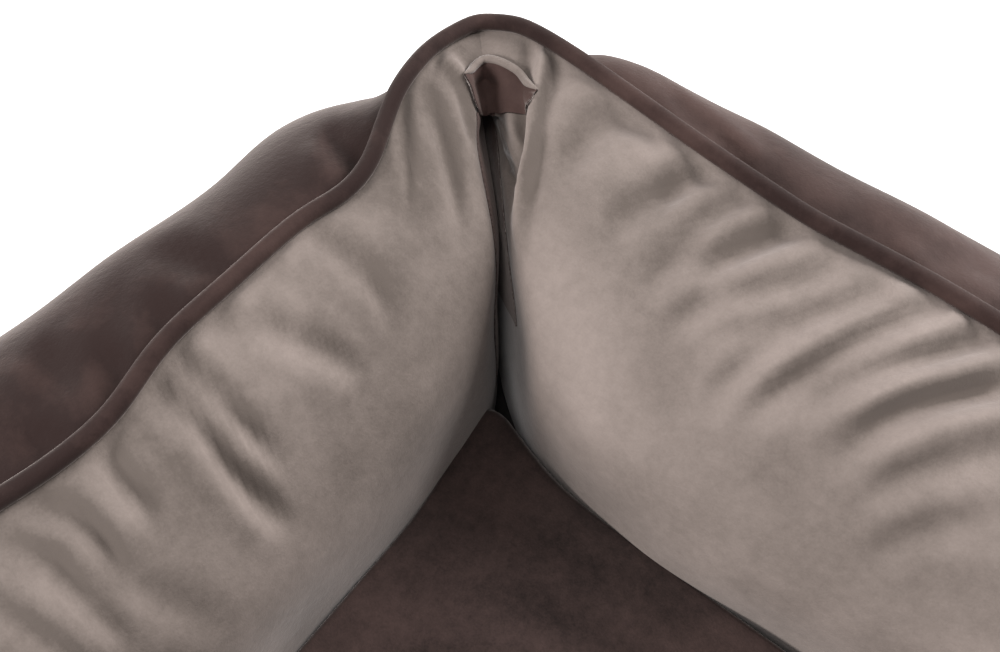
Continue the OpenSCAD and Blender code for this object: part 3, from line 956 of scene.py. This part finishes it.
def cushion_panel(face):
    """The cushion's top for 1 or its lower cover for -1: a flat panel whose margin turns down or
    up into the side, to the seam."""
    core = mattress_half - edge_radius
    flat_radius = edge_radius - side_reach + side_run
    flat_half = core + flat_radius
    counts = np.round(2 * flat_half / cushion_grid).astype(int)
    flat = np.stack(np.meshgrid(*(np.linspace(-1, 1, count + 1) * half
                                  for count, half in zip(counts, flat_half)), indexing="ij"))
    core = core[:, None, None]
    over = np.maximum(np.abs(flat) - core, 0) / flat_radius
    disc = flat_radius * (over * np.sqrt(1 - over[::-1] ** 2 / 2))
    sign = np.sign(flat)
    inner = np.clip(flat, -core, core)
    reach = np.hypot(*disc)
    from_edge = flat_radius - reach
    angle = np.clip(from_edge / side_run, 0, 1) * math.pi / 2
    inset = side_reach * (1 - np.cos(angle) ** 0.6)
    rise = (mattress_high[2] - crown - mattress_seam) if face > 0 else (mattress_seam - mattress_bottom)
    level = rise * np.sin(angle) ** 0.75
    radial = np.where(from_edge < side_run, edge_radius - inset, reach)
    scale = np.where(reach > 1e-9, radial / np.maximum(reach, 1e-9), 1)
    spot = inner + sign * disc * scale
    depth = np.minimum(mattress_half[0] - np.abs(spot[0]), mattress_half[1] - np.abs(spot[1]))
    up = mattress_seam + face * level + (crown * smooth(depth / 0.2) if face > 0 else 0)
    height, painted_shade = wrinkled(*spot, depth)
    if face > 0:
        up = up + height
    points = np.stack([*squeezed(spot, up), up], axis=-1)
    if face < 0:
        points, painted_shade = points[::-1], painted_shade[::-1]
    points = settled_on_zip(points, "mattress")
    name = "mattress_top_cover" if face > 0 else "mattress_bottom_cover"
    piece = cloth_piece(name, points, grid_normals(points, looped=False), velvet_thickness,
                        cushion_velvet, painted_shade)
    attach(piece, "mattress")
    if face > 0:
        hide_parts("mattress_top_panel", "mattress_filling")
    else:
        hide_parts("mattress_bottom_panel")


cushion_panel(1)
cushion_panel(-1)

# ---- Base cloth -----------------------------------------------------------------------------
# One sheet of tightly woven polyester closes the whole underside. Small rubber dots printed on it
# keep the bed from sliding.

base_low, base_high = (np.array(corner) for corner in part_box("base_panel"))
dot_height = 0.0006
dot_radius = 0.0025
dot_pitch = 0.024
dot_margin = 0.045
base_corner = 0.10
base_edge = 0.0004          # how much each face eases in at the cloth's edge


def woven(name, dark, light, thread, roughness=0.75):
    """A plain weave of threads this far apart, in metres."""
    material, shader, wire, place = new_material(name)
    warp, weft = (wire.node("ShaderNodeTexWave", {"wave_type": "BANDS", "bands_direction": axis},
                            {"Vector": place, "Scale": 1 / (20 * thread), "Distortion": 0.6,
                             "Detail": 1.0}, 1) for axis in "XY")
    threads = warp * 0.5 + weft * 0.5
    worn = wire.noise(place, 40.0, 3.0, 0.6)
    shade = threads * 0.6 + worn * 0.5
    wire.feed(shader.inputs["Base Color"], wire.blend(shade, dark, light))
    wire.feed(shader.inputs["Roughness"], roughness + threads * 0.15)
    wire.feed(shader.inputs["Normal"], wire.bump(threads, 0.35, thread / 2))
    return material


def moulded(name, dark, light, roughness, metallic=0.0):
    """Rubber, nylon or metal with handling marks."""
    material, shader, wire, place = new_material(name)
    marks = wire.span(wire.noise(place, 350.0, 4.0, 0.65), 0.35, 0.7)
    wire.feed(shader.inputs["Base Color"], wire.blend(marks, dark, light))
    wire.feed(shader.inputs["Roughness"], roughness + marks * 0.16)
    shader.inputs["Metallic"].default_value = metallic
    wire.feed(shader.inputs["Normal"], wire.bump(marks, 0.12, 0.0003))
    return material


def rounded_outline(low, high, radius, steps=10):
    """A rounded rectangle's corner points, counter-clockwise."""
    line = []
    centres = ((high[0] - radius, high[1] - radius), (low[0] + radius, high[1] - radius),
               (low[0] + radius, low[1] + radius), (high[0] - radius, low[1] + radius))
    for quarter, centre in enumerate(centres):
        for step in range(steps + 1):
            angle = (quarter + step / steps) * math.pi / 2
            line.append((centre[0] + radius * math.cos(angle), centre[1] + radius * math.sin(angle)))
    return line


def ringed(name, rings, material, turned=False, smooth_faces=True):
    """A closed piece from rings of points, of which the first and the last are each one spot."""
    points = [rings[0][0], *sum(rings[1:-1], []), rings[-1][0]]
    count = len(rings[1])
    last = 1 + (len(rings) - 3) * count
    faces = []
    for k in range(count):
        after = (k + 1) % count
        faces.append((0, 1 + k, 1 + after))
        for ring in range(1, last, count):
            faces.append((ring + k, ring + count + k, ring + count + after, ring + after))
        faces.append((last + k, len(points) - 1, last + after))
    if turned:
        faces = [(face[0], *face[:0:-1]) for face in faces]
    return new_piece(name, points, faces, material, smooth_faces)


def base_cloth():
    outline = rounded_outline(base_low, base_high, base_corner)
    shares = (0.0, 0.35, 0.7, 0.97, 1.0)
    rings = []
    for level, spread, ease in ((base_high[2], shares, -base_edge),
                                (dot_height, shares[::-1], base_edge)):
        for share in spread:
            height = level + (ease if share == 1 else 0)
            rings.append([(share * x, share * y, height) for x, y in outline])
    piece = ringed("base_cloth", rings, base_weave, smooth_faces=False)
    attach(piece, "walls")
    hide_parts("base_panel")
    return piece


def repeat_tree(name, pattern):
    """Geometry Nodes that set copies of a small shape on the points of a line or a grid."""
    tree = bpy.data.node_groups.new(name, "GeometryNodeTree")
    sockets = {"LINE": (("Count", "Int"), ("Start", "Vector"), ("Step", "Vector")),
               "GRID": (("Size X", "Float"), ("Size Y", "Float"), ("Count X", "Int"),
                        ("Count Y", "Int"))}
    tree.interface.new_socket("Geometry", in_out="INPUT", socket_type="NodeSocketGeometry")
    for label, kind in sockets[pattern] + (("Shape", "Object"), ("Finish", "Material")):
        tree.interface.new_socket(label, in_out="INPUT", socket_type=f"NodeSocket{kind}")
    tree.interface.new_socket("Geometry", in_out="OUTPUT", socket_type="NodeSocketGeometry")
    start, end, spots, shape, copies, real, finish = (tree.nodes.new(kind) for kind in (
        "NodeGroupInput", "NodeGroupOutput",
        "GeometryNodeMeshLine" if pattern == "LINE" else "GeometryNodeMeshGrid",
        "GeometryNodeObjectInfo", "GeometryNodeInstanceOnPoints", "GeometryNodeRealizeInstances",
        "GeometryNodeSetMaterial"))
    place_names = {"Start": "Start Location", "Step": "Offset", "Count X": "Vertices X",
                   "Count Y": "Vertices Y"}
    links = [(start, label, spots, place_names.get(label, label)) for label, _ in sockets[pattern]]
    links += [(start, "Shape", shape, "Object"), (spots, "Mesh", copies, "Points"),
              (shape, "Geometry", copies, "Instance"), (copies, "Instances", real, "Geometry"),
              (real, "Geometry", finish, "Geometry"), (start, "Finish", finish, "Material"),
              (finish, "Geometry", end, "Geometry")]
    for giver, given, taker, taken in links:
        tree.links.new(giver.outputs[given], taker.inputs[taken])
    return tree


def repeated(name, tree, values, shape, material):
    """A plain mesh piece from a repeat tree and the values of its named inputs."""
    carrier = placed(f"{name}_carrier", bpy.data.meshes.new(f"{name}_carrier"))
    modifier = carrier.modifiers.new("repeat", "NODES")
    modifier.node_group = tree
    values = {**values, "Shape": shape, "Finish": material}
    for socket in tree.interface.items_tree:
        if socket.in_out == "INPUT" and socket.name in values:
            modifier[socket.identifier] = values[socket.name]
    mesh = bpy.data.meshes.new_from_object(carrier.evaluated_get(bpy.context.evaluated_depsgraph_get()))
    carrier.modifiers.remove(modifier)
    bpy.data.objects.remove(carrier)
    bpy.data.objects.remove(shape)
    mesh.name = name
    return placed(name, mesh)


def dome(name, radius, height, sides=10):
    """A low dot whose rounded face looks down."""
    angles = [2 * math.pi * k / sides for k in range(sides)]
    rings = [[(share * radius * math.cos(angle), share * radius * math.sin(angle), up * height)
              for angle in angles] for share, up in ((0, 0), (0.55, 0.08), (0.9, 0.45), (1, 1), (0, 1))]
    return ringed(name, rings, rubber, turned=True)


def grip_dots():
    size = (base_high - base_low)[:2] - 2 * dot_margin
    counts = [int(round(side / dot_pitch)) for side in size]
    values = {"Size X": float(size[0]), "Size Y": float(size[1]),
              "Count X": counts[0], "Count Y": counts[1]}
    piece = repeated("grip_dots", repeat_tree("dot_grid", "GRID"), values,
                     dome("one_dot", dot_radius, dot_height), rubber)
    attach(piece, "walls")
    return piece


base_weave = woven("base_weave", (0.010, 0.008, 0.008, 1), (0.035, 0.028, 0.026, 1), 0.0008)
rubber = moulded("grip_rubber", (0.012, 0.012, 0.012, 1), (0.03, 0.03, 0.03, 1), 0.55)
base_size = (base_high - base_low)[:2]
base_cloth()
grip_dots()
float(base_size.prod() - (4 - math.pi) * base_corner ** 2)

# ---- Care label -----------------------------------------------------------------------------
# A blank tab of satin tape, caught in the base seam at the left of the back.

label_satin = woven("label_satin", (0.62, 0.60, 0.56, 1), (0.80, 0.78, 0.74, 1), 0.0004, 0.4)


def finish_node(node, material):
    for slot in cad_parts[node].material_slots:
        slot.material = material


finish_node("care_label", label_satin)

# ---- Zips -----------------------------------------------------------------------------------
# A nylon coil zip low on the back of the wall cover, and one along the cushion's back edge. Each
# has two woven tapes stitched to the cloth, the coil's turns, a slider with its pull, and stops.

tape_weave = woven("zip_tape_weave", (0.012, 0.007, 0.006, 1), (0.05, 0.032, 0.028, 1), 0.0006)
coil_nylon = moulded("zip_nylon", (0.014, 0.008, 0.007, 1), (0.04, 0.026, 0.023, 1), 0.35)
zip_metal = moulded("zip_nickel", (0.20, 0.19, 0.17, 1), (0.46, 0.44, 0.41, 1), 0.28, 1.0)
stitch_thread = woven("stitch_thread", (0.02, 0.012, 0.010, 1), (0.075, 0.05, 0.044, 1), 0.0003)
coil_rise = 0.0019          # the coil's middle above the tapes' back
turn_pitch = 0.0020
turn_half_width = 0.0011
turn_half_height = 0.00045
turn_lean = 0.0004          # how far each turn leans along the zip
turn_sides = 8
nylon_radius = 0.0003
stitch_pitch = 0.0045
stitch_reach = 0.0014       # half a stitch, with its ends sunk in the tape
stitch_lift = 0.0002
stitch_line_out = 0.0068    # the row of stitches, out from the zip's middle
thread_radius = 0.00028
row_tree = repeat_tree("shape_row", "LINE")


def zip_row(name, body, first, count, pitch, shape, material):
    values = {"Count": count, "Start": tuple(float(v) for v in first), "Step": (pitch, 0.0, 0.0)}
    piece = repeated(name, row_tree, values, shape, material)
    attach(piece, body)
    return piece


def zip_details(prefix, body):
    """The turns and stitches of one zip, and the finish of its other parts."""
    middle, across, out = zip_axes(prefix)
    (left, *_), (right, *_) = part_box(f"{prefix}_zip_coil")
    (tape_left, *_), (tape_right, *_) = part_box(f"{prefix}_zip_tapes")
    centre = middle + out * coil_rise
    along = np.array((1, 0, 0))
    for tape, edge, lead in (("upper", 1, 0.0), ("lower", -1, turn_pitch / 2)):
        ring = []
        for angle in np.linspace(0, 2 * math.pi, turn_sides + 1)[:-1]:
            aside = edge * (turn_half_width + 0.0001) + turn_half_width * 0.85 * math.cos(angle)
            spot = across * aside + out * turn_half_height * math.sin(angle)
            ring.append(spot + along * (turn_lean * math.cos(angle + edge)))
        turn = bent_rod("one_turn", ring, nylon_radius, True, coil_nylon)
        first = centre + along * (left + turn_pitch / 2 + lead)
        count = int((right - left) / turn_pitch) - 1
        row = zip_row(f"{prefix}_coil_{tape}", body, first, count, turn_pitch, turn, coil_nylon)
        if edge > 0:
            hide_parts(f"{prefix}_zip_coil")
        stitch_line = [along * (reach * stitch_reach) + out * (lift * stitch_lift)
                       for reach, lift in ((-1, -1), (-0.5, 1), (0.5, 1), (1, -1))]
        stitch = bent_rod("one_stitch", stitch_line, thread_radius, False, stitch_thread)
        first = middle + out * (tape_thickness + 0.0001) + across * edge * stitch_line_out
        first = first + along * (tape_left + 0.004)
        count = int((tape_right - tape_left - 0.006) / stitch_pitch)
        zip_row(f"{prefix}_stitches_{tape}", body, first, count, stitch_pitch, stitch, stitch_thread)
    finish_node(f"{prefix}_zip_tapes", tape_weave)
    for part in ("top_stops", "bottom_stop", "slider", "pull"):
        finish_node(f"{prefix}_zip_{part}", zip_metal)


zip_details("wall", "walls")
zip_details("mattress", "mattress")
